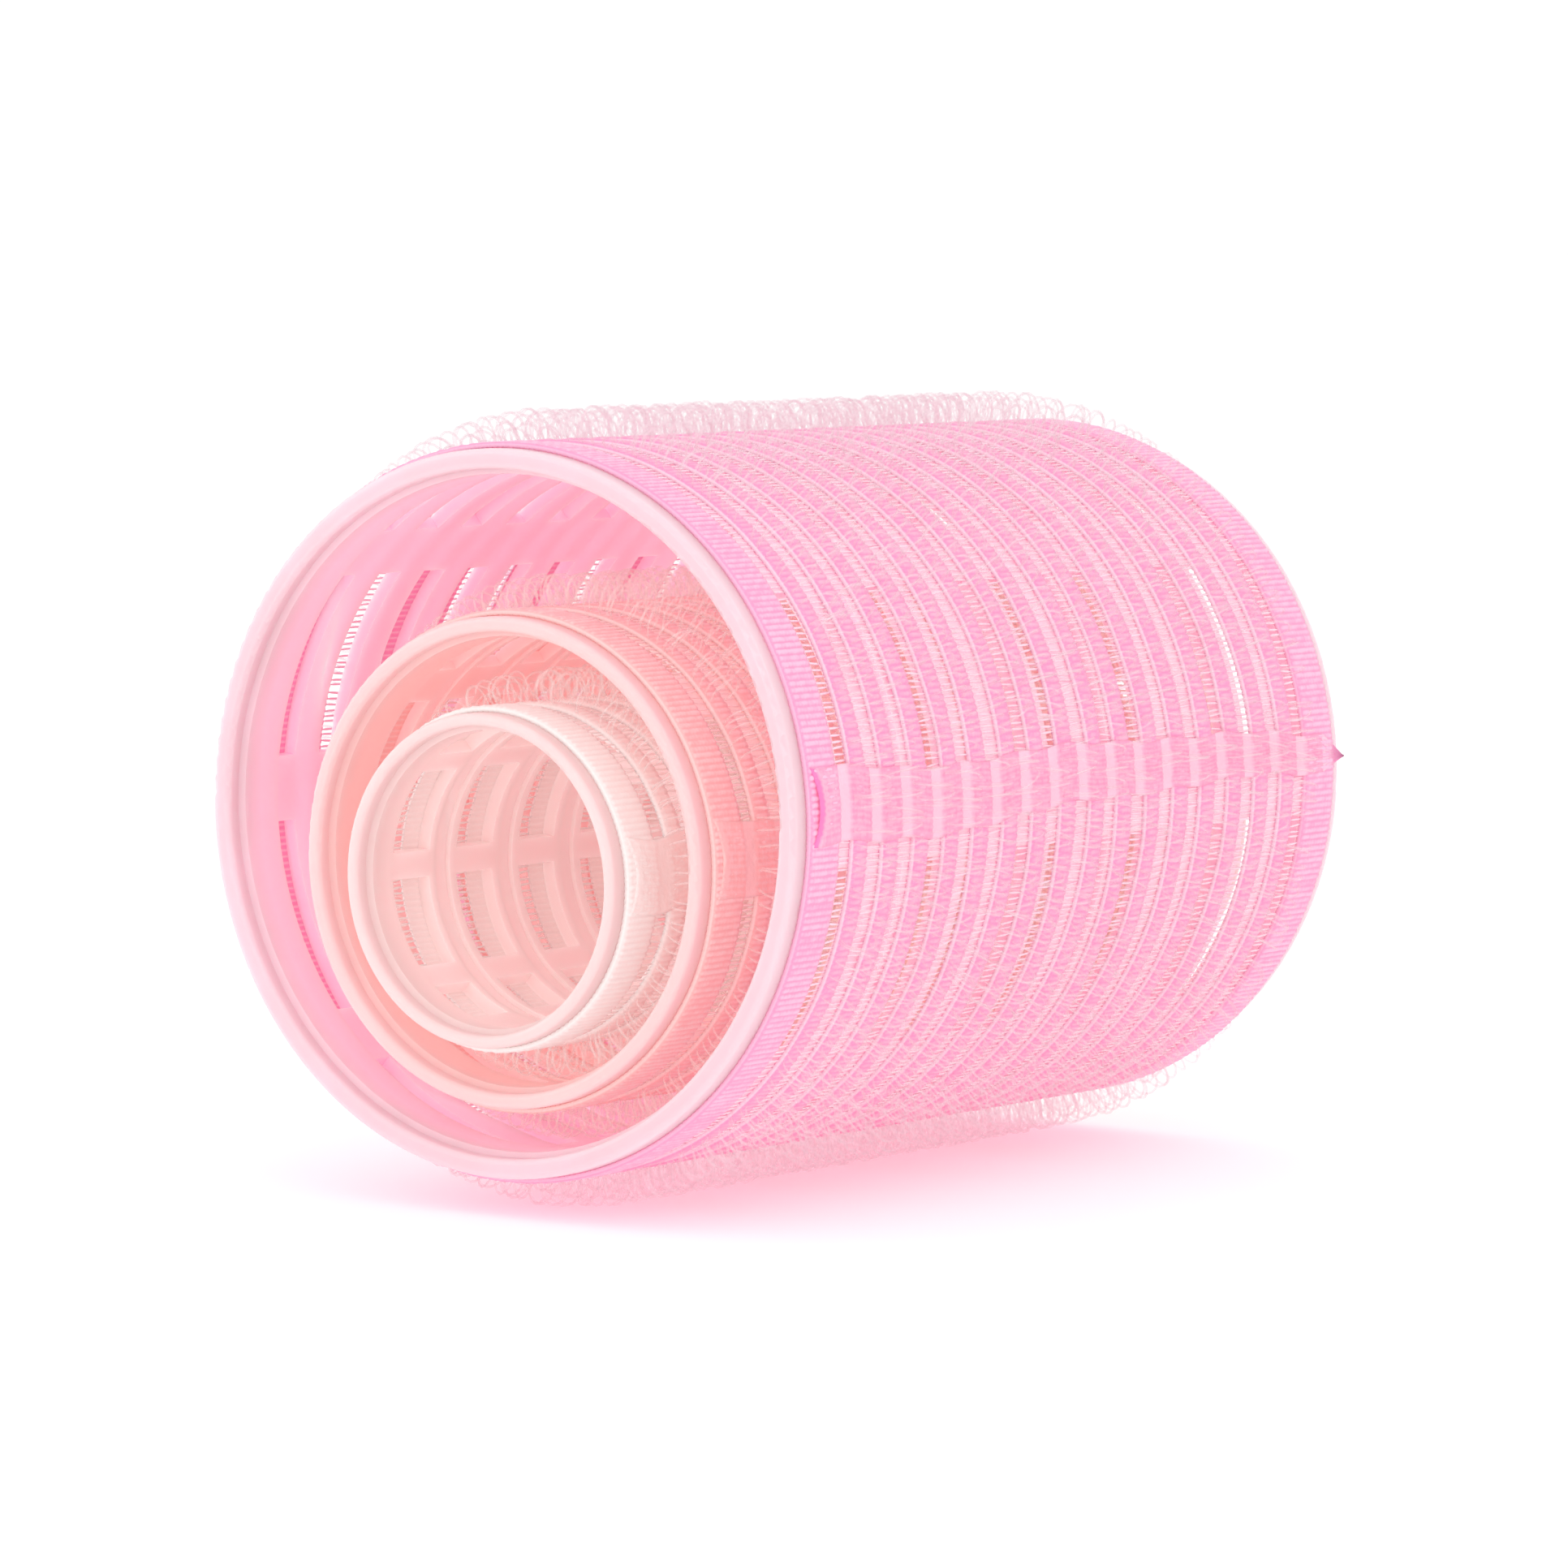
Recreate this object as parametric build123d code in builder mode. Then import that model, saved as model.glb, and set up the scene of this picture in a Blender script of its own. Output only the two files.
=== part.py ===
"""A nested set of three self-grip hair rollers: large, medium and small.

Each roller is a moulded, slotted plastic tube with a woven hook-tape sleeve
shrunk onto it. The smaller rollers are stored inside the larger one, resting
on the bottom of its bore, and pull out of its front end.

Frame: millimetres, +Z up. The origin is on the large roller's axis, halfway
along it. +Y runs along the axis to the rear, and the front faces -Y.
"""

from build123d import *

import math
import os
from dataclasses import dataclass

# ---------------------------------------------------------------- driving dimensions, mm

LENGTH = 60.0            # every core, rim to rim
RIM_BARE = 1.2           # smooth rim that stands out of the sleeve at each end
MOUTH_DEPTH = 1.0        # widened mouth inside each rim
MOUTH_STEP = 0.3         # how much wider the mouth is, on the radius
RIM_FILLET = 0.35        # rounding of the four rim edges
COLLAR_SLOPE = 0.2       # length of the slope from a smooth end collar to the thinner wall
COLLAR_TO_WINDOW = 0.25

THREAD_THICKNESS = 0.15  # lengthwise ladder threads, lying on the core
THREAD_WIDTH = 0.5
THREAD_SPACING = 3.0     # around the core
SLEEVE_THICKNESS = 0.4   # threads and woven bands together
HOOK_HEIGHT = 2.0        # hook tips above the woven face

LADDER_GAPS = 17         # open rings in the sleeve, where only threads cross
LADDER_PITCH = 3.13
LADDER_GAP = 1.1
FIRST_GAP = 4.75         # middle of the first open ring, from the front rim
SEAM_ANGLE = 4.5         # degrees above horizontal, on the right side
SEAM_WIDTH = 4.6
SEAM_THICKNESS = 0.15

NEST_CLEARANCE = 0.2     # between hook tips and the bore they lie in
CUT_PAST = 1.0           # how far a window's cutter runs past each face of the wall


@dataclass
class Roller:
    """One roller: core radii, window layout and where the front rim is."""

    name: str
    core_r: float        # outer radius of the core
    bore_r: float        # inner radius of the core at its end collars
    collar_step: float   # how much the end collars stand into the bore
    rows: int            # rings of windows along the core
    row_pitch: float
    window_length: float  # along the axis
    windows: list        # (start angle, sweep) of each window in a row, degrees
    groove: float        # depth of the grooves between rows, 0 for none
    front: float         # how far the front rim is behind the large one's
    axis_z: float = 0.0

    @property
    def wall_r(self):
        """Inner radius of the core between its end collars."""
        return self.bore_r + self.collar_step

    @property
    def thread_r(self):
        return self.core_r + THREAD_THICKNESS

    @property
    def fabric_r(self):
        return self.core_r + SLEEVE_THICKNESS

    @property
    def hook_r(self):
        return self.fabric_r + HOOK_HEIGHT

    @property
    def front_y(self):
        return self.front - LENGTH / 2

    def plane(self, from_front):
        """Cross-section plane: local x is +X, local y is +Z, angles run from +X up."""
        origin = (0, self.front_y + from_front, self.axis_z)
        return Plane(origin=origin, x_dir=(1, 0, 0), z_dir=(0, -1, 0))

    def profile_plane(self):
        """Half-section plane: local x is +Y from the front rim, local y the radius."""
        origin = (0, self.front_y, self.axis_z)
        return Plane(origin=origin, x_dir=(0, 1, 0), z_dir=(1, 0, 0))

    def axis(self):
        return Axis((0, 0, self.axis_z), (0, 1, 0))


def even_windows(count, sweep):
    """A row of equal windows, evenly spaced, with a rib at the top and bottom."""
    pitch = 360.0 / count
    rib = pitch - sweep
    return [(90.0 + rib / 2 + pitch * turn, sweep) for turn in range(count)]


def paired_windows(land, end_sweep, sweep, rib):
    """Two mirrored halves of four windows, with a solid land at the top and bottom."""
    half = []
    angle = 90.0 + land / 2
    for width in (end_sweep, sweep, sweep, end_sweep):
        half.append((angle, width))
        angle += width + rib
    return half + [(start + 180.0, width) for start, width in half]


large = Roller("large", 21.6, 20.1, 0.65, 12, 4.42, 2.1, even_windows(8, 34.0), 0.0, 0.0)
medium = Roller("medium", 14.6, 13.4, 0.4, 12, 4.42, 2.5, even_windows(8, 33.0), 0.2, 0.4)
small = Roller("small", 9.9, 8.85, 0.2, 9, 6.2, 3.5, paired_windows(38.0, 21.0, 35.0, 10.0), 0.3, -1.7)

medium.axis_z = large.axis_z - (large.bore_r - medium.hook_r - NEST_CLEARANCE)
small.axis_z = medium.axis_z - (medium.bore_r - small.hook_r - NEST_CLEARANCE)

# Sleeve stations, from the front rim.
gap_starts = [FIRST_GAP - LADDER_GAP / 2 + LADDER_PITCH * row for row in range(LADDER_GAPS)]
band_starts = [start + LADDER_GAP for start in gap_starts[:-1]]
BAND_WIDTH = LADDER_PITCH - LADDER_GAP
FIELD_START = gap_starts[0]
FIELD_END = gap_starts[-1] + LADDER_GAP
SLEEVE_START = RIM_BARE
SLEEVE_END = LENGTH - RIM_BARE


def sector(inner_r, outer_r, start, sweep):
    """Annular sector, as one face of the open sketch."""
    with BuildLine() as outline:
        outer = CenterArc((0, 0), outer_r, start, sweep)
        inner = CenterArc((0, 0), inner_r, start, sweep)
        Line(outer @ 0, inner @ 0)
        Line(outer @ 1, inner @ 1)
    make_face(outline.edges())


def ring(roller, inner_r, outer_r, starts, width):
    """Plain rings of one width around the roller, one solid at each start."""
    with BuildPart() as rings:
        for start in starts:
            with BuildSketch(roller.plane(start)):
                Circle(outer_r)
                Circle(inner_r, mode=Mode.SUBTRACT)
            extrude(amount=-width)
    return rings.part


def save(part, roller, piece):
    part.label = f"{roller.name}_{piece}"
    export_step(part, f"parts/{part.label}.step")
    print(part.label, len(part.solids()), "solids", round(part.volume, 2), "mm3")


def core(roller):
    """Moulded tube with stepped mouths, end collars, and grooves between rows of windows."""
    mouth_r = roller.bore_r + MOUTH_STEP
    first_row = (LENGTH - (roller.rows - 1) * roller.row_pitch - roller.window_length) / 2
    solid_width = roller.row_pitch - roller.window_length
    groove_width = solid_width / 2
    collar_end = first_row - COLLAR_TO_WINDOW
    with BuildPart() as tube:
        with BuildSketch(roller.profile_plane()):
            with BuildLine():
                Polyline(
                    (0, roller.core_r),
                    (LENGTH, roller.core_r),
                    (LENGTH, mouth_r),
                    (LENGTH - MOUTH_DEPTH, mouth_r),
                    (LENGTH - MOUTH_DEPTH - MOUTH_STEP, roller.bore_r),
                    (LENGTH - collar_end, roller.bore_r),
                    (LENGTH - collar_end - COLLAR_SLOPE, roller.wall_r),
                    (collar_end + COLLAR_SLOPE, roller.wall_r),
                    (collar_end, roller.bore_r),
                    (MOUTH_DEPTH + MOUTH_STEP, roller.bore_r),
                    (MOUTH_DEPTH, mouth_r),
                    (0, mouth_r),
                    close=True,
                )
            make_face()
        revolve(axis=roller.axis())
        rims = tube.edges().filter_by(GeomType.CIRCLE).group_by(Axis.Y)
        fillet(rims[0] + rims[-1], RIM_FILLET)
        if roller.groove:
            for row in range(roller.rows - 1):
                start = first_row + roller.window_length + roller.row_pitch * row
                with BuildSketch(roller.plane(start + (solid_width - groove_width) / 2)):
                    Circle(roller.wall_r + roller.groove)
                extrude(amount=-groove_width, mode=Mode.SUBTRACT)
        for row in range(roller.rows):
            with BuildSketch(roller.plane(first_row + roller.row_pitch * row)):
                for start, sweep in roller.windows:
                    sector(roller.bore_r - CUT_PAST, roller.core_r + CUT_PAST, start, sweep)
            extrude(amount=-roller.window_length, mode=Mode.SUBTRACT)
    return tube.part


def ladder_threads(roller):
    """Lengthwise threads that lie on the core and cross the open rings."""
    count = round(2 * math.pi * roller.core_r / THREAD_SPACING)
    sweep = math.degrees(THREAD_WIDTH / roller.core_r)
    with BuildPart() as threads:
        with BuildSketch(roller.plane(FIELD_START)):
            for turn in range(count):
                sector(roller.core_r, roller.thread_r, turn * 360.0 / count, sweep)
        extrude(amount=-(FIELD_END - FIELD_START))
    return threads.part


def weld_seam(roller):
    """Lapped and welded edge of the sleeve, a thin strip along the right side."""
    sweep = math.degrees(SEAM_WIDTH / roller.fabric_r)
    outer_r = roller.fabric_r + SEAM_THICKNESS
    with BuildPart() as seam:
        with BuildSketch(roller.plane(SLEEVE_START)):
            sector(roller.fabric_r, outer_r, SEAM_ANGLE - sweep / 2, sweep)
        extrude(amount=-(SLEEVE_END - SLEEVE_START))
    return seam.part


def hook_pile(roller, seam):
    """Space that the hooks fill, hollowed where the weld seam lies under them."""
    with BuildPart() as pile:
        with BuildSketch(roller.plane(FIELD_START)):
            Circle(roller.hook_r)
            Circle(roller.fabric_r, mode=Mode.SUBTRACT)
        extrude(amount=-(FIELD_END - FIELD_START))
        add(seam, mode=Mode.SUBTRACT)
    return pile.part


os.makedirs("parts", exist_ok=True)
for roller in (large, medium, small):
    save(core(roller), roller, "core")
    save(ladder_threads(roller), roller, "ladder_threads")
    bands = ring(roller, roller.thread_r, roller.fabric_r, band_starts, BAND_WIDTH)
    save(bands, roller, "woven_bands")
    front_width = FIELD_START - SLEEVE_START
    save(ring(roller, roller.core_r, roller.fabric_r, [SLEEVE_START], front_width),
         roller, "front_selvedge")
    rear_width = SLEEVE_END - FIELD_END
    save(ring(roller, roller.core_r, roller.fabric_r, [FIELD_END], rear_width),
         roller, "rear_selvedge")
    seam = weld_seam(roller)
    save(seam, roller, "weld_seam")
    save(hook_pile(roller, seam), roller, "hook_pile")
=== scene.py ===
"""Looks of the nested self-grip hair rollers: woven sleeves, hooks, plastic, light and camera.

Everything is in metres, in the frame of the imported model: the origin is on the large
roller's axis, halfway along it, +Y runs to the rear and +Z is up. Each roller's moulded
core is the CAD part itself with a plastic finish. Its sleeve is built here as it is woven:
ribbed bands, fine threads across the open rings between them, plain ribbed edges, a lapped
weld seam, and clear hooks standing on the bands.
"""

import math

import bpy
import numpy as np
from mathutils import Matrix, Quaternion, Vector


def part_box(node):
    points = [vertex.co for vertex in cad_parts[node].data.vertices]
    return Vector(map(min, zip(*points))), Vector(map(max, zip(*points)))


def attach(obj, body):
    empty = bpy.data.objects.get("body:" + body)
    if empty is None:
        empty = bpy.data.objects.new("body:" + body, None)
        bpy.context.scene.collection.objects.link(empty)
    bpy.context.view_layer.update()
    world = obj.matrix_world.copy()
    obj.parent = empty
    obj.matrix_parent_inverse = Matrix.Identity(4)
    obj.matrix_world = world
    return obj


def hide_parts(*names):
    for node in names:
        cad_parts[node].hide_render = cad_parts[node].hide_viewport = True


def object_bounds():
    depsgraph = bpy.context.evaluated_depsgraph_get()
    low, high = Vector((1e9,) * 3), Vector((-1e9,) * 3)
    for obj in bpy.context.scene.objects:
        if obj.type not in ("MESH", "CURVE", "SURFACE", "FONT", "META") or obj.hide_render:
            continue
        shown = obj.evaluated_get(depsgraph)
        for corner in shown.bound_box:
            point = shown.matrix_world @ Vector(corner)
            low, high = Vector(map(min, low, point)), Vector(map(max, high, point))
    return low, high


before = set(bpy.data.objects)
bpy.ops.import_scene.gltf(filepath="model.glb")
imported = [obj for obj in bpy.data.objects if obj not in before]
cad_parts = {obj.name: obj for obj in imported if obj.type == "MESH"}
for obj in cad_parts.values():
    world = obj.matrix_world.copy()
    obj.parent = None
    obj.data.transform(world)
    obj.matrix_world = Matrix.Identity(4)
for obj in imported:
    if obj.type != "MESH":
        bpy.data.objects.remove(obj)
cad_low, cad_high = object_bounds()

MM = 0.001
SIZES = ("large", "medium", "small")
rng = np.random.default_rng(48)

# ------------------------------------------------------------------ sleeve, as woven

LADDER_GAPS = 17             # open rings along the sleeve
LADDER_GAP = 1.1 * MM
RIB_PITCH = 0.4 * MM         # lengthwise ribs, around the sleeve
RIB_SAMPLES = 3              # points around each rib: one in the valley, two on the crown
RIB_DEPTH = 0.09 * MM
RIB_UNEVEN = 0.012 * MM      # how much one rib's height differs from the next
WEAVE_STEP = 0.03 * MM       # how far every other crossing of a rib is sunk
UNDER_RELIEF = 0.05 * MM     # ribs on the side towards the core
THREAD_THICKNESS = 0.15 * MM             # of the lengthwise threads
BAND_INSET = 0.16 * MM       # how far the bands' sides draw in from the open rings
BAND_STRAY = 0.12 * MM       # how far the bands' sides stray
EDGE_STRAY = 0.05 * MM       # and the plain edges' sides
RUNG_RADIUS = THREAD_THICKNESS / 2       # threads across the open rings
RUNG_BITE = 0.3 * MM         # how far a thread runs under the band at each end
RUNG_STRAY = 0.16            # how far a thread's ends stray, in rib pitches
RUNG_BOW = 0.07 * MM         # how far the loosest threads stand off the core
SEAM_ANGLE = math.radians(4.5)           # above horizontal, on the right side
SEAM_WIDTH = 4.6 * MM
SEAM_STEPS = 260             # points along the seam
SEAM_RISE = 0.05 * MM        # above the bands
SEAM_SUNK = 0.12 * MM        # its underside, below the bands' face
SEAM_RIB = 0.07 * MM         # depth of its ribs
SEAM_STRAY = 0.3 * MM        # how far it strays to either side
RING_SINK = 0.06 * MM        # where it crosses an open ring
WELD_DOT_PITCH = 0.8 * MM    # along the seam
WELD_DOT_DEPTH = 0.05 * MM
LIP_START = 0.3 * MM         # the seam's dished front edge, behind the sleeve's edge
LIP_DISH = 0.45 * MM         # how far it is dished
LIP_LENGTH = 0.7 * MM        # how far back its lift fades
LIP_LIFT = {"large": 0.22 * MM, "medium": 0.07 * MM, "small": 0.07 * MM}
SEAM_TIP = 1.1 * MM          # how far the seam's pointed end passes the sleeve's rear edge
TIP_TAPER = 2.4 * MM         # over which the seam narrows to its tip

# ------------------------------------------------------------------ hooks

HOOK_SPACING = 0.62 * MM     # around each band
SPACING_STRAY = 0.2          # in spacings
PLACE_STRAY = 0.035          # across the band, as a share of its width
LEFT_ON_SEAM = 0.9           # share of the hooks under the weld that stand all the same
STANDING = 0.95              # share of all hooks that aren't missing
YAW_SPREAD = 0.12            # turn about the radius, radians
LEAN_SPREAD = 0.09           # tilt round the roller, radians
SHORTEST = 0.9               # of the full height
HOOK_ROOT = 0.08 * MM        # how deep a hook starts below the bands' face
HALF_SPAN = (1.06, 1.24)     # half a hook's width along the roller, mm, least and most
HOOK_TWIST = 0.1 * MM        # how far a hook leaves its own plane
CUT_SHARE = 0.15             # hooks cut open
CUT_AT = (0.66, 0.86)        # where along the loop
FILAMENT_RADIUS = 0.08 * MM
HOOK_STEPS = 12
HOOK_SIDES = 6
THREAD_SIDES = 4
ARCH = math.radians(140)     # half the turn that a hook's arch makes


class Roller:
    """What the frame says about one roller."""

    def __init__(self, size):
        low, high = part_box(f"{size}_core")
        self.size = size
        self.body = f"{size}_roller"
        self.axis_z = (low.z + high.z) / 2
        self.core_r = (high.x - low.x) / 2
        low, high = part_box(f"{size}_hook_pile")
        self.hook_r = (high.x - low.x) / 2
        self.field_start, self.field_end = low.y, high.y
        low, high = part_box(f"{size}_front_selvedge")
        self.fabric_r = (high.x - low.x) / 2
        self.sleeve_start = low.y
        self.sleeve_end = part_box(f"{size}_rear_selvedge")[1].y
        self.thread_r = self.core_r + THREAD_THICKNESS
        self.pitch = (self.field_end - self.field_start - LADDER_GAP) / (LADDER_GAPS - 1)
        self.gap_starts = self.field_start + self.pitch * np.arange(LADDER_GAPS)
        self.band_starts = self.gap_starts[:-1] + LADDER_GAP
        self.band_width = self.pitch - LADDER_GAP
        self.ribs = round(2 * math.pi * self.fabric_r / RIB_PITCH)
        self.seam_start = self.sleeve_start + LIP_DISH + LIP_START

    def points(self, angle, along, radius):
        """Points at these angles round the roller's axis, places along it and radii."""
        height = self.axis_z + radius * np.sin(angle)
        return np.stack(np.broadcast_arrays(radius * np.cos(angle), along, height), axis=-1)


# ------------------------------------------------------------------ mesh helpers


def mesh_object(name, points, faces, material, smooth=None):
    """A mesh object from arrays of points and equal-sided faces, smooth-shaded unless said."""
    corners = faces.shape[1]
    mesh = bpy.data.meshes.new(name)
    mesh.vertices.add(len(points))
    mesh.vertices.foreach_set("co", np.ascontiguousarray(points, np.float32).ravel())
    mesh.loops.add(faces.size)
    mesh.loops.foreach_set("vertex_index", faces.astype(np.int32).ravel())
    mesh.polygons.add(len(faces))
    mesh.polygons.foreach_set("loop_start", np.arange(0, faces.size, corners, dtype=np.int32))
    mesh.polygons.foreach_set("use_smooth", np.ones(len(faces), bool) if smooth is None else smooth)
    mesh.update(calc_edges=True)
    mesh.validate()
    obj = bpy.data.objects.new(name, mesh)
    bpy.context.scene.collection.objects.link(obj)
    mesh.materials.append(material)
    return obj


def wrapped_quads(rows, columns, close_rows):
    """Quads over a grid of points whose columns wrap round, and whose rows may."""
    row, column = np.meshgrid(np.arange(rows - (not close_rows)), np.arange(columns), indexing="ij")
    next_row, next_column = (row + 1) % rows, (column + 1) % columns
    corners = (row * columns + column, row * columns + next_column,
               next_row * columns + next_column, next_row * columns + column)
    return np.stack(corners, axis=-1).reshape(-1, 4)


def tubes(paths, side, radius, sides):
    """Points and quads of closed tubes along many paths of equal length.

    side is one direction per path, across the plane that the path bends in. Each end is
    pulled in to a small closed tip. sides is even.
    """
    count, steps, _ = paths.shape
    tangent = np.gradient(paths, axis=1)
    tangent /= np.linalg.norm(tangent, axis=2, keepdims=True)
    across = np.broadcast_to(side[:, None, :], tangent.shape)
    across = across - (across * tangent).sum(2, keepdims=True) * tangent
    across /= np.linalg.norm(across, axis=2, keepdims=True)
    upright = np.cross(tangent, across)
    turn = 2 * math.pi * np.arange(sides) / sides
    ring = (np.cos(turn)[:, None] * across[:, :, None, :]
            + np.sin(turn)[:, None] * upright[:, :, None, :])
    width = np.full(steps, radius)
    width[[0, -1]] *= 0.3
    points = paths[:, :, None, :] + ring * width[:, None, None]
    cap = np.array([[0, corner, corner + 1, corner + 2] for corner in range(1, sides - 2, 2)])
    last_ring = (steps - 1) * sides
    one = np.concatenate([wrapped_quads(steps, sides, close_rows=False),
                          cap[:, ::-1], cap + last_ring])
    offsets = steps * sides * np.arange(count)
    return points.reshape(-1, 3), (one[None] + offsets[:, None, None]).reshape(-1, 4)


def slab(top, under):
    """Points and quads of a closed sheet between two grids of points of the same shape."""
    upper, lower = np.arange(2 * top[..., 0].size).reshape(2, *top.shape[:2])
    walls = (
        (upper[:-1, :-1], upper[:-1, 1:], upper[1:, 1:], upper[1:, :-1]),
        (lower[:-1, :-1], lower[1:, :-1], lower[1:, 1:], lower[:-1, 1:]),
        (upper[:-1, 0], upper[1:, 0], lower[1:, 0], lower[:-1, 0]),
        (upper[1:, -1], upper[:-1, -1], lower[:-1, -1], lower[1:, -1]),
        (upper[0, 1:], upper[0, :-1], lower[0, :-1], lower[0, 1:]),
        (upper[-1, :-1], upper[-1, 1:], lower[-1, 1:], lower[-1, :-1]),
    )
    faces = np.concatenate([np.stack(wall, axis=-1).reshape(-1, 4) for wall in walls])
    return np.concatenate([top.reshape(-1, 3), under.reshape(-1, 3)]), faces


def wander(angle, amount, waves=(3, 7, 12, 19)):
    """A smooth random wave round the roller, of about that amplitude."""
    total = np.zeros_like(angle)
    for wave in waves:
        total += rng.normal(0, 1) * np.sin(wave * angle + rng.uniform(0, 2 * math.pi)) / wave ** 0.5
    return amount * total / 1.2


# ------------------------------------------------------------------ materials

SHOWS_FROM = 0.4 * MM        # past the sleeve's edge, where its painted show-through on the wall starts
SHOWS_FULLY = 1.6 * MM       # inside the edge
SKIN_DEPTH = 0.5 * MM        # wall under the outer face that takes on the skin's colour
SKIN_FULL = 0.05 * MM
CUT_SIDE = (0.35, 0.75)      # how squarely outward a face may look and still take the painted glow of the windows' cut sides: fully, and at all
CROSS_YARN_PITCH = 0.34 * MM
FLANK_FOOT = (0.03 * MM, 0.09 * MM)      # above the core, where the flank's colour sets in
FLANK_TOP = (0.16 * MM, 0.09 * MM)       # below the crowns, where it ends
RING_BLUR = 0.2 * MM         # of the open rings that show through the seam
LIP_SHADOW_EDGE = (0.35 * MM, 0.65 * MM)        # where the painted shadow under the lifted lip ends
TIP_COLOUR = (1.0 * MM, 0.4 * MM)        # before and past the sleeve's edge


class Nodes:
    """A material's node tree, with short calls for what the finishes share."""

    def __init__(self, name):
        self.material = bpy.data.materials.new(name)
        self.material.use_nodes = True
        self.tree = self.material.node_tree
        self.shader = self.tree.nodes["Principled BSDF"]
        self.place = self.tree.nodes.new("ShaderNodeTexCoord").outputs["Object"]

    def add(self, kind, inputs=(), **settings):
        node = self.tree.nodes.new(kind)
        for key, value in settings.items():
            setattr(node, key, value)
        for socket, value in dict(inputs).items():
            if isinstance(value, bpy.types.NodeSocket):
                self.tree.links.new(value, node.inputs[socket])
            else:
                node.inputs[socket].default_value = value
        return node

    def math(self, operation, *values):
        return self.add("ShaderNodeMath", dict(enumerate(values)), operation=operation).outputs[0]

    def noise(self, scale, detail=2.0, vector=None):
        inputs = {"Vector": vector or self.place, "Scale": scale, "Detail": detail}
        return self.add("ShaderNodeTexNoise", inputs).outputs["Fac"]

    def blend(self, amount, first, second):
        inputs = {0: amount, 6: first, 7: second}
        return self.add("ShaderNodeMix", inputs, data_type="RGBA").outputs[2]

    def spread(self, value, low, high, to_low=0.0, to_high=1.0):
        inputs = {0: value, 1: low, 2: high, 3: to_low, 4: to_high}
        return self.add("ShaderNodeMapRange", inputs).outputs[0]

    def bump(self, height, strength, distance):
        inputs = {"Height": height, "Strength": strength, "Distance": distance}
        normal = self.add("ShaderNodeBump", inputs).outputs[0]
        self.tree.links.new(normal, self.shader.inputs["Normal"])

    def around(self, roller):
        """Angle round the roller's axis, place along it and distance from it."""
        across, along, height = self.add("ShaderNodeSeparateXYZ", {0: self.place}).outputs
        up = self.math("SUBTRACT", height, roller.axis_z)
        square = self.math("ADD", self.math("MULTIPLY", across, across),
                           self.math("MULTIPLY", up, up))
        return self.math("ARCTAN2", up, across), along, self.math("SQRT", square)

    def outward(self, roller):
        """How squarely the surface faces to or from the roller's axis, 0 to 1."""
        across, _, height = self.add("ShaderNodeSeparateXYZ", {0: self.place}).outputs
        normal = self.add("ShaderNodeTexCoord").outputs["Normal"]
        normal_x, _, normal_z = self.add("ShaderNodeSeparateXYZ", {0: normal}).outputs
        up = self.math("SUBTRACT", height, roller.axis_z)
        sideways = self.math("MULTIPLY", across, normal_x)
        radial = self.math("ADD", sideways, self.math("MULTIPLY", up, normal_z))
        return self.math("DIVIDE", self.math("ABSOLUTE", radial), self.around(roller)[2])

    def drive(self, socket, value):
        self.tree.links.new(value, self.shader.inputs[socket])

    def set(self, **values):
        for key, value in values.items():
            self.shader.inputs[key.replace("_", " ")].default_value = value


def plastic(roller, bare, painted_show_through, skin_colour, painted_cut_glow):
    """Translucent moulded polypropylene.

    bare is its colour on the rims and skin_colour on the outside, between the sleeve's bands. The
    second colour is painted in where the sleeve lies behind the wall, for the sleeve seen through
    the milky wall and the light let through it; the last is a painted glow of light on the windows'
    cut sides.
    """
    nodes = Nodes(f"{roller.size}_plastic")
    _, along, radius = nodes.around(roller)
    start, end = roller.sleeve_start, roller.sleeve_end
    # painted: where the sleeve lies behind the wall, its colour as seen and lit through the milky
    # wall
    behind_front = nodes.spread(along, start - SHOWS_FROM, start + SHOWS_FULLY)
    before_rear = nodes.spread(along, end - SHOWS_FULLY, end + SHOWS_FROM, 1.0, 0.0)
    covered = nodes.math("MULTIPLY", behind_front, before_rear)
    outside = nodes.spread(radius, roller.core_r - SKIN_DEPTH, roller.core_r - SKIN_FULL)
    cloud = nodes.spread(nodes.noise(160.0, 3.0), 0.3, 0.7, -0.12, 0.12)
    under_sleeve = nodes.blend(outside, painted_show_through, skin_colour)
    colour = nodes.blend(nodes.math("ADD", covered, cloud), bare, under_sleeve)
    # painted glow of light on the windows' cut sides, where the sleeve lies behind
    sideways = nodes.spread(nodes.outward(roller), *CUT_SIDE, 1.0, 0.0)
    nodes.drive("Base Color", nodes.blend(nodes.math("MULTIPLY", covered, sideways), colour, painted_cut_glow))
    grain = nodes.noise(2600.0, 2.0)
    nodes.drive("Roughness", nodes.spread(grain, 0.3, 0.7, 0.32, 0.44))
    nodes.bump(grain, 0.06, 0.05 * MM)
    nodes.set(Subsurface_Weight=1.0, Subsurface_Scale=0.003, IOR=1.49, Specular_IOR_Level=0.4)
    nodes.set(Subsurface_Radius=(1.0, 0.7, 0.8))
    return nodes.material


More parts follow.
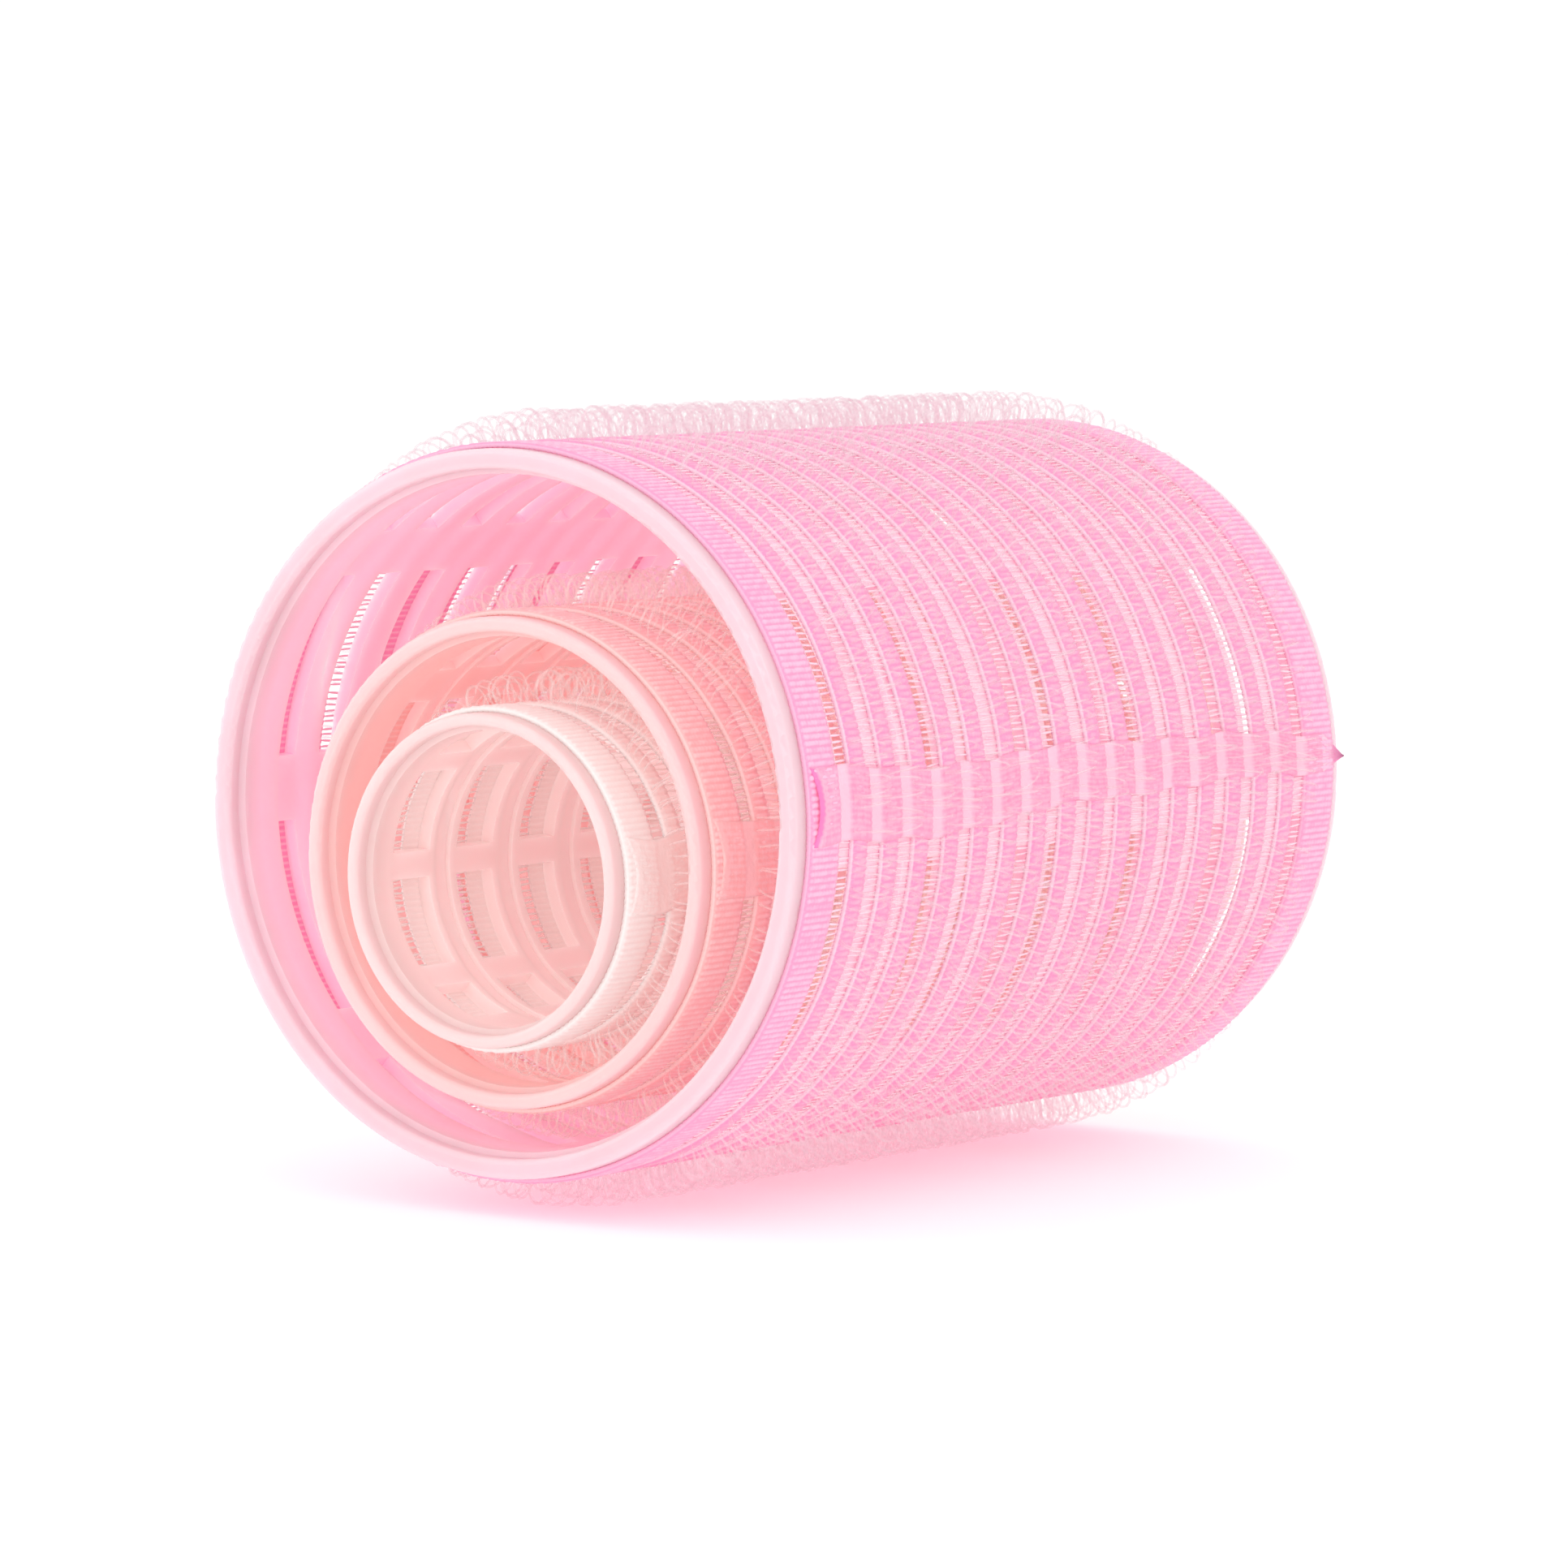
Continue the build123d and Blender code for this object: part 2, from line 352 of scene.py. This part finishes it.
def cloth(roller, crown, valley, name="cloth", skin=None, flank=None, lip_shadow_and_tip=None):
    """Woven nylon: pale rib crowns and valleys painted deeper as shade, by depth below the crowns,
    finer cross yarns and stray fibres.

    skin is the radius of the crowns, and flank the paler colour that the bands' side walls take in
    place of most of that painted shade. The lip colour is painted shadow under the seam's puckered
    front edge, and is laid on its rear tip too; on the seam flank is where the open rings show
    through it.
    """
    nodes = Nodes(f"{roller.size}_{name}")
    angle, along, radius = nodes.around(roller)
    skin = skin or roller.fabric_r
    # painted shade: the lower the cloth lies below its crowns, the deeper its colour, in the rib
    # valleys and down the bands' sides
    depth_shade = nodes.spread(radius, skin - RIB_DEPTH, skin, 0.0, 1.1)
    yarn = nodes.math("SINE", nodes.math("MULTIPLY", along, 2 * math.pi / CROSS_YARN_PITCH))
    fibre = nodes.noise(5200.0, 2.0)
    mottle = nodes.noise(900.0, 3.0)
    stray = nodes.math("ADD", nodes.math("MULTIPLY", yarn, 0.07), nodes.math("ADD", fibre, mottle))
    # painted shade by depth, mixed with the yarns' own mottle and cross yarns
    amount = nodes.math("ADD", depth_shade, nodes.spread(stray, 0.65, 1.35, -0.5, 0.3))
    colour = nodes.blend(amount, valley, crown)
    if flank and not lip_shadow_and_tip:                    # on the seam, lip is given too
        # the side walls take the flank colour over most of their height, in place of the painted
        # valley shade
        foot_low, foot_high = (roller.core_r + height for height in FLANK_FOOT)
        top_low, top_high = (skin - depth for depth in FLANK_TOP)
        above = nodes.spread(radius, foot_low, foot_high)
        below = nodes.spread(radius, top_low, top_high, 0.8, 0.0)
        colour = nodes.blend(nodes.math("MULTIPLY", above, below), colour, flank)
    if lip_shadow_and_tip:
        whole_pitches = LADDER_GAPS + 3      # keeps the modulo's first value positive
        from_field = nodes.math("ADD", along, whole_pitches * roller.pitch - roller.field_start)
        in_pitch = nodes.math("MODULO", from_field, roller.pitch)
        in_ring = nodes.spread(in_pitch, LADDER_GAP - RING_BLUR, LADDER_GAP + RING_BLUR, 0.55, 0.0)
        colour = nodes.blend(in_ring, colour, flank)
        # painted shadow under the seam's puckered, lifted front edge; the same colour is laid on
        # its rear tip
        off_centre = nodes.math("DIVIDE", nodes.math("SUBTRACT", angle, SEAM_ANGLE),
                                SEAM_WIDTH / 2 / roller.fabric_r)
        dish = nodes.math("MULTIPLY", nodes.math("MULTIPLY", off_centre, off_centre), LIP_DISH)
        from_edge = nodes.math("SUBTRACT", nodes.math("ADD", along, dish), roller.seam_start)
        front_lip_shadow = nodes.spread(from_edge, *LIP_SHADOW_EDGE, 1.0, 0.0)
        before, past = TIP_COLOUR
        rear_tip = nodes.spread(along, roller.sleeve_end - before, roller.sleeve_end + past,
                                0.0, 0.5)
        colour = nodes.blend(nodes.math("MAXIMUM", front_lip_shadow, rear_tip), colour, lip_shadow_and_tip)
    nodes.drive("Base Color", colour)
    nodes.drive("Roughness", nodes.spread(fibre, 0.3, 0.7, 0.62, 0.8))
    nodes.bump(stray, 0.35, 0.06 * MM)
    nodes.set(Sheen_Weight=0.25, Sheen_Roughness=0.4, Sheen_Tint=(1.0, 0.85, 0.92, 1.0))
    nodes.set(Specular_IOR_Level=0.3)
    return nodes.material


def filament(size, colour):
    """Clear nylon monofilament: thin, glossy and partly see-through."""
    nodes = Nodes(f"{size}_filament")
    streak = nodes.noise(1500.0, 1.0)
    pale = tuple(0.2 + 0.8 * c for c in colour[:3]) + (1.0,)
    nodes.drive("Base Color", nodes.blend(streak, colour, pale))
    nodes.drive("Roughness", nodes.spread(streak, 0.3, 0.7, 0.2, 0.34))
    nodes.set(Alpha=0.22, IOR=1.53, Specular_IOR_Level=0.5)
    return nodes.material


# ------------------------------------------------------------------ sleeve pieces


def ribbed_rings(roller, starts, width, section, stray):
    """Closed ribbed rings. section is (share of the width, share of the height) round it.

    Returns their points, quads, and which quads are smooth: all but the flat undersides.
    """
    around = roller.ribs * RIB_SAMPLES
    angle = 2 * math.pi * np.arange(around) / around
    crown = (np.arange(around) % RIB_SAMPLES > 0).astype(float)
    rib = np.arange(around) // RIB_SAMPLES
    share, height = (np.array(column) for column in zip(*section))
    thick = roller.fabric_r - roller.thread_r
    points, faces = [], []
    for start in starts:
        front = start + wander(angle, stray)
        back = start + width + wander(angle, stray)
        uneven = rng.normal(0, RIB_UNEVEN, roller.ribs)[rib]
        along = front[:, None] + (back - front)[:, None] * share
        weave = np.where((rib[:, None] + np.arange(len(share))) % 2, WEAVE_STEP, 0.0)
        drop = (RIB_DEPTH * (1 - crown) - uneven * crown)[:, None] + weave * crown[:, None]
        under = thick * height + UNDER_RELIEF * (1 - crown)[:, None]
        radius = roller.thread_r + np.where(height > 0, (thick - drop) * height, under)
        ring = roller.points(angle[:, None], along, radius).reshape(-1, 3)
        faces.append(wrapped_quads(around, len(share), close_rows=True) + len(points) * len(ring))
        points.append(ring)
    upper = (height > 0.1) | (np.roll(height, -1) > 0.1)
    return np.concatenate(points), np.concatenate(faces), np.tile(upper, len(starts) * around)


BAND_SECTION = ((0.0, -0.5), (0.1, 0.8), (0.36, 1.0), (0.64, 1.0), (0.9, 0.8), (1.0, -0.5))
EDGE_SECTION = ((0.0, -0.5), (0.03, 0.75), (0.12, 1.0), (0.3, 0.96), (0.5, 1.0), (0.7, 0.96),
                (0.88, 1.0), (0.97, 0.75), (1.0, -0.5))


def bands(roller, material):
    points, faces, smooth = ribbed_rings(
        roller, roller.band_starts + BAND_INSET, roller.band_width - 2 * BAND_INSET, BAND_SECTION,
        BAND_STRAY)
    return mesh_object(f"{roller.size}_cloth", points, faces, material, smooth)


def plain_edge(roller, end, start, stop, material):
    points, faces, smooth = ribbed_rings(roller, [start], stop - start, EDGE_SECTION, EDGE_STRAY)
    return mesh_object(f"{roller.size}_{end}_edge", points, faces, material, smooth)


def rungs(roller, material):
    """Fine threads that cross each open ring from band to band."""
    centre = 2 * math.pi * (np.arange(roller.ribs) + 0.5) / roller.ribs
    share = np.linspace(0, 1, 4)
    paths, sides = [], []
    for start in roller.gap_starts:
        loose = rng.normal(0, RUNG_STRAY, (2, roller.ribs)) * RIB_PITCH / roller.fabric_r
        angle = centre[:, None] + loose[0][:, None] * (1 - share) + loose[1][:, None] * share
        along = start - RUNG_BITE + (LADDER_GAP + 2 * RUNG_BITE) * share
        bow = rng.uniform(0.0, RUNG_BOW, roller.ribs)[:, None] * np.sin(math.pi * share)
        paths.append(roller.points(angle, along[None], roller.core_r + RUNG_RADIUS + bow))
        sides.append(np.stack([-np.sin(centre), 0 * centre, np.cos(centre)], axis=-1))
    points, faces = tubes(np.concatenate(paths), np.concatenate(sides), RUNG_RADIUS, THREAD_SIDES)
    return mesh_object(f"{roller.size}_rungs", points, faces, material)


def seam(roller, material):
    """Lapped edge of the sleeve along the right side: ribbed like the bands, with weld dots.

    Its front edge is dished and stands up a little, and its rear end runs out in a tip.
    """
    rib_angle = 2 * math.pi / roller.ribs
    columns = 2 * round(SEAM_WIDTH / roller.fabric_r / rib_angle) + 1
    across = np.linspace(1, -1, columns)
    share = np.linspace(0, 1, SEAM_STEPS)[:, None]
    start = roller.seam_start - LIP_DISH * across ** 2
    along = start + (roller.sleeve_end + SEAM_TIP - start) * share
    taper = np.clip((1 - share) * (roller.sleeve_end - roller.sleeve_start) / TIP_TAPER, 0.04, 1)
    taper = taper * (1 - 0.5 * share)
    stray = wander(share * 7, SEAM_STRAY / roller.fabric_r, (1, 2.3, 5, 9))
    angle = SEAM_ANGLE + stray + SEAM_WIDTH / 2 / roller.fabric_r * taper * across
    edge = np.clip(1 - across ** 6, 0, 1)
    valley = SEAM_RIB * (np.arange(columns) % 2)
    dots = np.cos(along / WELD_DOT_PITCH * 2 * math.pi) * np.cos(across * 8)
    lift = LIP_LIFT[roller.size] * np.exp(-((along - start) / LIP_LENGTH) ** 2) * (1 - across ** 2)
    in_gap = np.abs((along - roller.gap_starts[0] - LADDER_GAP / 2 + roller.pitch / 2)
                    % roller.pitch - roller.pitch / 2) < LADDER_GAP / 2
    sunk = valley + WELD_DOT_DEPTH * np.clip(dots, 0, 1) + RING_SINK * in_gap
    rise = (SEAM_RISE - sunk) * edge + lift
    top = roller.points(angle, along, roller.fabric_r + rise)
    under = roller.points(angle, along, roller.fabric_r - SEAM_SUNK + lift)
    points, faces = slab(top, under)
    return mesh_object(f"{roller.size}_seam", points, faces, material)


def hooks(roller, material, parts):
    """Clear loops and cut hooks that stand on the bands, each spanning its band."""
    per_band = round(2 * math.pi * roller.fabric_r / HOOK_SPACING)
    tall = roller.hook_r - roller.fabric_r
    made = []
    for band_list in np.array_split(roller.band_starts, parts):
        count = per_band * len(band_list)
        angle = 2 * math.pi * (np.arange(count) % per_band) / per_band
        angle = angle + rng.normal(0, SPACING_STRAY, count) * HOOK_SPACING / roller.fabric_r
        across_band = rng.normal(0.5, PLACE_STRAY, count)
        middle = np.repeat(band_list, per_band) + roller.band_width * across_band
        from_seam = np.abs((angle - SEAM_ANGLE + math.pi) % (2 * math.pi) - math.pi)
        keep = (from_seam > SEAM_WIDTH / 2 / roller.fabric_r) | (rng.random(count) < LEFT_ON_SEAM)
        keep &= rng.random(count) < STANDING
        angle, middle = angle[keep], middle[keep]
        count = len(angle)
        outward = np.stack([np.cos(angle), 0 * angle, np.sin(angle)], axis=-1)
        round_it = np.stack([-np.sin(angle), 0 * angle, np.cos(angle)], axis=-1)
        yaw = rng.normal(0, YAW_SPREAD, count)[:, None]
        lean = rng.normal(0, LEAN_SPREAD, count)[:, None]
        span = np.cos(yaw) * np.array([0.0, 1.0, 0.0]) + np.sin(yaw) * round_it
        normal = np.cross(span, outward)
        stand = np.cos(lean) * outward + np.sin(lean) * normal
        flip = rng.choice([-1.0, 1.0], count)[:, None]
        cut = rng.random(count) < CUT_SHARE
        last = np.where(cut, rng.uniform(*CUT_AT, count), 1.0)[:, None]
        turn = ARCH * (2 * np.linspace(0, 1, HOOK_STEPS) * last - 1)
        half = rng.uniform(*HALF_SPAN, count)[:, None] * MM
        height = tall * rng.uniform(SHORTEST, 1.0, count)[:, None]
        sideways = flip * half * np.sin(turn)
        upward = height * (np.cos(turn) - math.cos(ARCH)) / (1 - math.cos(ARCH))
        twist = rng.normal(0, HOOK_TWIST, count)[:, None] * np.sin(turn * 0.9)
        base = roller.points(angle, middle, roller.fabric_r - HOOK_ROOT)
        paths = (base[:, None] + sideways[..., None] * span[:, None]
                 + upward[..., None] * stand[:, None] + twist[..., None] * normal[:, None])
        points, faces = tubes(paths, normal, FILAMENT_RADIUS, HOOK_SIDES)
        name = f"{roller.size}_hooks_{len(made) + 1}"
        made.append(mesh_object(name, points, faces, material))
    return made


# ------------------------------------------------------------------ the three rollers

# Four are the plastic's colours: bare on the rims, skin on the outside between the bands, and two
# painted ones, the sleeve as seen and lit through the wall from behind and a glow of light on the
# windows' cut sides. The rest are the yarns'. The valley after a name is painted shade for what
# lies between that yarn's rib crowns, and the lip colour is painted shadow under the seam's lifted
# front edge, also laid on its rear tip.
COLOURS = {
    "large": {"bare": (0.62, 0.45, 0.49, 1), "painted_show_through": (0.87, 0.60, 0.73, 1),
              "skin": (0.86, 0.61, 0.71, 1), "thread": (0.88, 0.63, 0.72, 1),
              "crown": (0.85, 0.37, 0.52, 1), "valley": (0.84, 0.24, 0.46, 1),
              "edge": (0.85, 0.42, 0.59, 1), "edge_valley_shade": (0.84, 0.26, 0.46, 1),
              "lap": (0.85, 0.36, 0.51, 1), "lap_valley_shade": (0.84, 0.24, 0.42, 1),
              "painted_cut_glow": (0.88, 0.55, 0.69, 1), "lip_shadow_and_tip": (0.78, 0.16, 0.42, 1),
              "filament": (0.71, 0.50, 0.56, 1)},
    "medium": {"bare": (0.67, 0.45, 0.44, 1), "painted_show_through": (0.88, 0.53, 0.51, 1),
               "skin": (0.86, 0.61, 0.59, 1), "thread": (0.88, 0.62, 0.60, 1),
               "crown": (0.88, 0.55, 0.54, 1), "valley": (0.87, 0.41, 0.40, 1),
               "edge": (0.88, 0.56, 0.54, 1), "edge_valley_shade": (0.87, 0.41, 0.40, 1),
               "lap": (0.88, 0.53, 0.52, 1), "lap_valley_shade": (0.87, 0.41, 0.39, 1),
               "painted_cut_glow": (0.88, 0.56, 0.54, 1), "lip_shadow_and_tip": (0.88, 0.50, 0.48, 1),
               "filament": (0.80, 0.60, 0.57, 1)},
    "small": {"bare": (0.61, 0.46, 0.445, 1), "painted_show_through": (0.81, 0.61, 0.595, 1),
              "skin": (0.83, 0.71, 0.69, 1), "thread": (0.84, 0.73, 0.71, 1),
              "crown": (0.84, 0.74, 0.72, 1), "valley": (0.83, 0.67, 0.65, 1),
              "edge": (0.84, 0.75, 0.73, 1), "edge_valley_shade": (0.83, 0.69, 0.67, 1),
              "lap": (0.84, 0.73, 0.71, 1), "lap_valley_shade": (0.83, 0.66, 0.64, 1),
              "painted_cut_glow": (0.82, 0.63, 0.61, 1), "lip_shadow_and_tip": (0.84, 0.70, 0.68, 1),
              "filament": (0.80, 0.68, 0.66, 1)},
}
HOOK_PARTS = {"large": 3, "medium": 2, "small": 2}


def dress(size):
    """One roller's finish and sleeve, riding on its body."""
    roller, colour = Roller(size), COLOURS[size]
    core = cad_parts[f"{size}_core"]
    core.data.materials.clear()
    core.data.materials.append(plastic(roller, colour["bare"], colour["painted_show_through"], colour["skin"],
                                       colour["painted_cut_glow"]))
    # the valley colours are painted shade by depth; the threads' second colour is painted shade
    # towards the core
    woven = cloth(roller, colour["crown"], colour["valley"], flank=colour["thread"])
    thread = cloth(roller, colour["thread"], colour["crown"], "thread",
                   roller.core_r + 2 * RUNG_RADIUS)
    edging = cloth(roller, colour["edge"], colour["edge_valley_shade"], "edging", flank=colour["edge"])
    lapped = cloth(roller, colour["lap"], colour["lap_valley_shade"], "lap",
                   roller.fabric_r + SEAM_RISE, colour["thread"], colour["lip_shadow_and_tip"])
    clear = filament(size, colour["filament"])

    body_cloth = bands(roller, woven)
    threads = rungs(roller, thread)
    front = plain_edge(roller, "front", roller.sleeve_start, roller.field_start, edging)
    rear = plain_edge(roller, "rear", roller.field_end, roller.sleeve_end, edging)
    lap = seam(roller, lapped)
    pile = hooks(roller, clear, HOOK_PARTS[size])

    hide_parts(f"{size}_woven_bands")
    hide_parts(f"{size}_ladder_threads")
    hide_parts(f"{size}_front_selvedge")
    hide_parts(f"{size}_rear_selvedge")
    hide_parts(f"{size}_weld_seam")
    woven_pieces = (body_cloth, threads, front, rear, lap)
    for piece in pile:
        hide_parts(f"{size}_hook_pile")
    for piece in (*woven_pieces, *pile):
        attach(piece, roller.body)
    for piece in (core, *woven_pieces, *pile):
        piece.visible_shadow = False     # the lamps shine through the milky wall and open mesh


for size in SIZES:
    dress(size)

# ------------------------------------------------------------------ stage, light and camera

FLOOR_RADIUS = 4.0
FLOOR_SIDES = 96
CAMERA_TURN = math.radians(35.4)     # to the right of straight on
CAMERA_RISE = math.radians(4.9)
CAMERA_ROLL = math.radians(0.7)
CAMERA_DISTANCE = 0.473
LENS, SENSOR = 175.0, 36.0           # mm


def stage():
    """A plain white table top, which the lamp under it shines through."""
    nodes = Nodes("paper")
    nodes.drive("Base Color", nodes.blend(nodes.noise(60.0, 4.0), (0.96, 0.96, 0.96, 1),
                                          (0.98, 0.98, 0.978, 1)))
    nodes.set(Roughness=0.9, Specular_IOR_Level=0.1)
    turn = 2 * math.pi * np.arange(FLOOR_SIDES) / FLOOR_SIDES
    rim = np.stack([np.cos(turn), np.sin(turn), 0 * turn], axis=-1) * FLOOR_RADIUS
    mesh = bpy.data.meshes.new("floor")
    mesh.from_pydata((rim + [0, 0, cad_low.z]).tolist(), [], [list(range(FLOOR_SIDES))])
    mesh.materials.append(nodes.material)
    floor = bpy.data.objects.new("floor", mesh)
    bpy.context.scene.collection.objects.link(floor)
    floor.visible_shadow = False


def area_light(name, place, size, power, colour):
    light = bpy.data.lights.new(name, "AREA")
    light.energy, light.size, light.color = power, size, colour
    obj = bpy.data.objects.new(name, light)
    obj.location = place
    obj.rotation_mode = "QUATERNION"
    obj.rotation_quaternion = (-Vector(place)).to_track_quat("-Z", "Y")
    bpy.context.scene.collection.objects.link(obj)


def lights():
    world = bpy.data.worlds.new("soft_white")
    world.use_nodes = True
    world.node_tree.nodes["Background"].inputs["Color"].default_value = (1.0, 1.0, 1.0, 1.0)
    world.node_tree.nodes["Background"].inputs["Strength"].default_value = 1.05
    bpy.context.scene.world = world
    area_light("key", (0.3, -0.6, 0.9), 0.7, 2.2, (1.0, 0.99, 0.98))
    area_light("front", (0.35, -0.95, 0.25), 0.6, 1.5, (1.0, 0.99, 0.99))
    area_light("right", (1.0, 0.1, 0.25), 0.7, 1.5, (1.0, 0.99, 0.99))
    area_light("left", (-0.9, -0.5, 0.3), 0.7, 1.6, (1.0, 0.99, 0.99))
    area_light("table", (0.0, -0.1, -0.9), 0.8, 1.7, (1.0, 0.98, 0.99))


def camera():
    target = (cad_low + cad_high) / 2
    level = math.cos(CAMERA_RISE)
    away = Vector((math.sin(CAMERA_TURN) * level, -math.cos(CAMERA_TURN) * level,
                   math.sin(CAMERA_RISE)))
    data = bpy.data.cameras.new("camera")
    data.sensor_width, data.lens = SENSOR, LENS
    data.clip_start, data.clip_end = 0.01, 20.0
    obj = bpy.data.objects.new("camera", data)
    obj.location = target + CAMERA_DISTANCE * away
    obj.rotation_mode = "QUATERNION"
    obj.rotation_quaternion = (-away).to_track_quat("-Z", "Y") @ Quaternion((0, 0, 1), CAMERA_ROLL)
    bpy.context.scene.collection.objects.link(obj)
    bpy.context.scene.camera = obj


stage()
lights()
camera()
bpy.context.scene.view_settings.view_transform = "Standard"
bpy.context.scene.view_settings.gamma = 1.15
bpy.context.scene.cycles.max_bounces = 24
bpy.context.scene.cycles.diffuse_bounces = 16
bpy.context.scene.cycles.transparent_max_bounces = 48
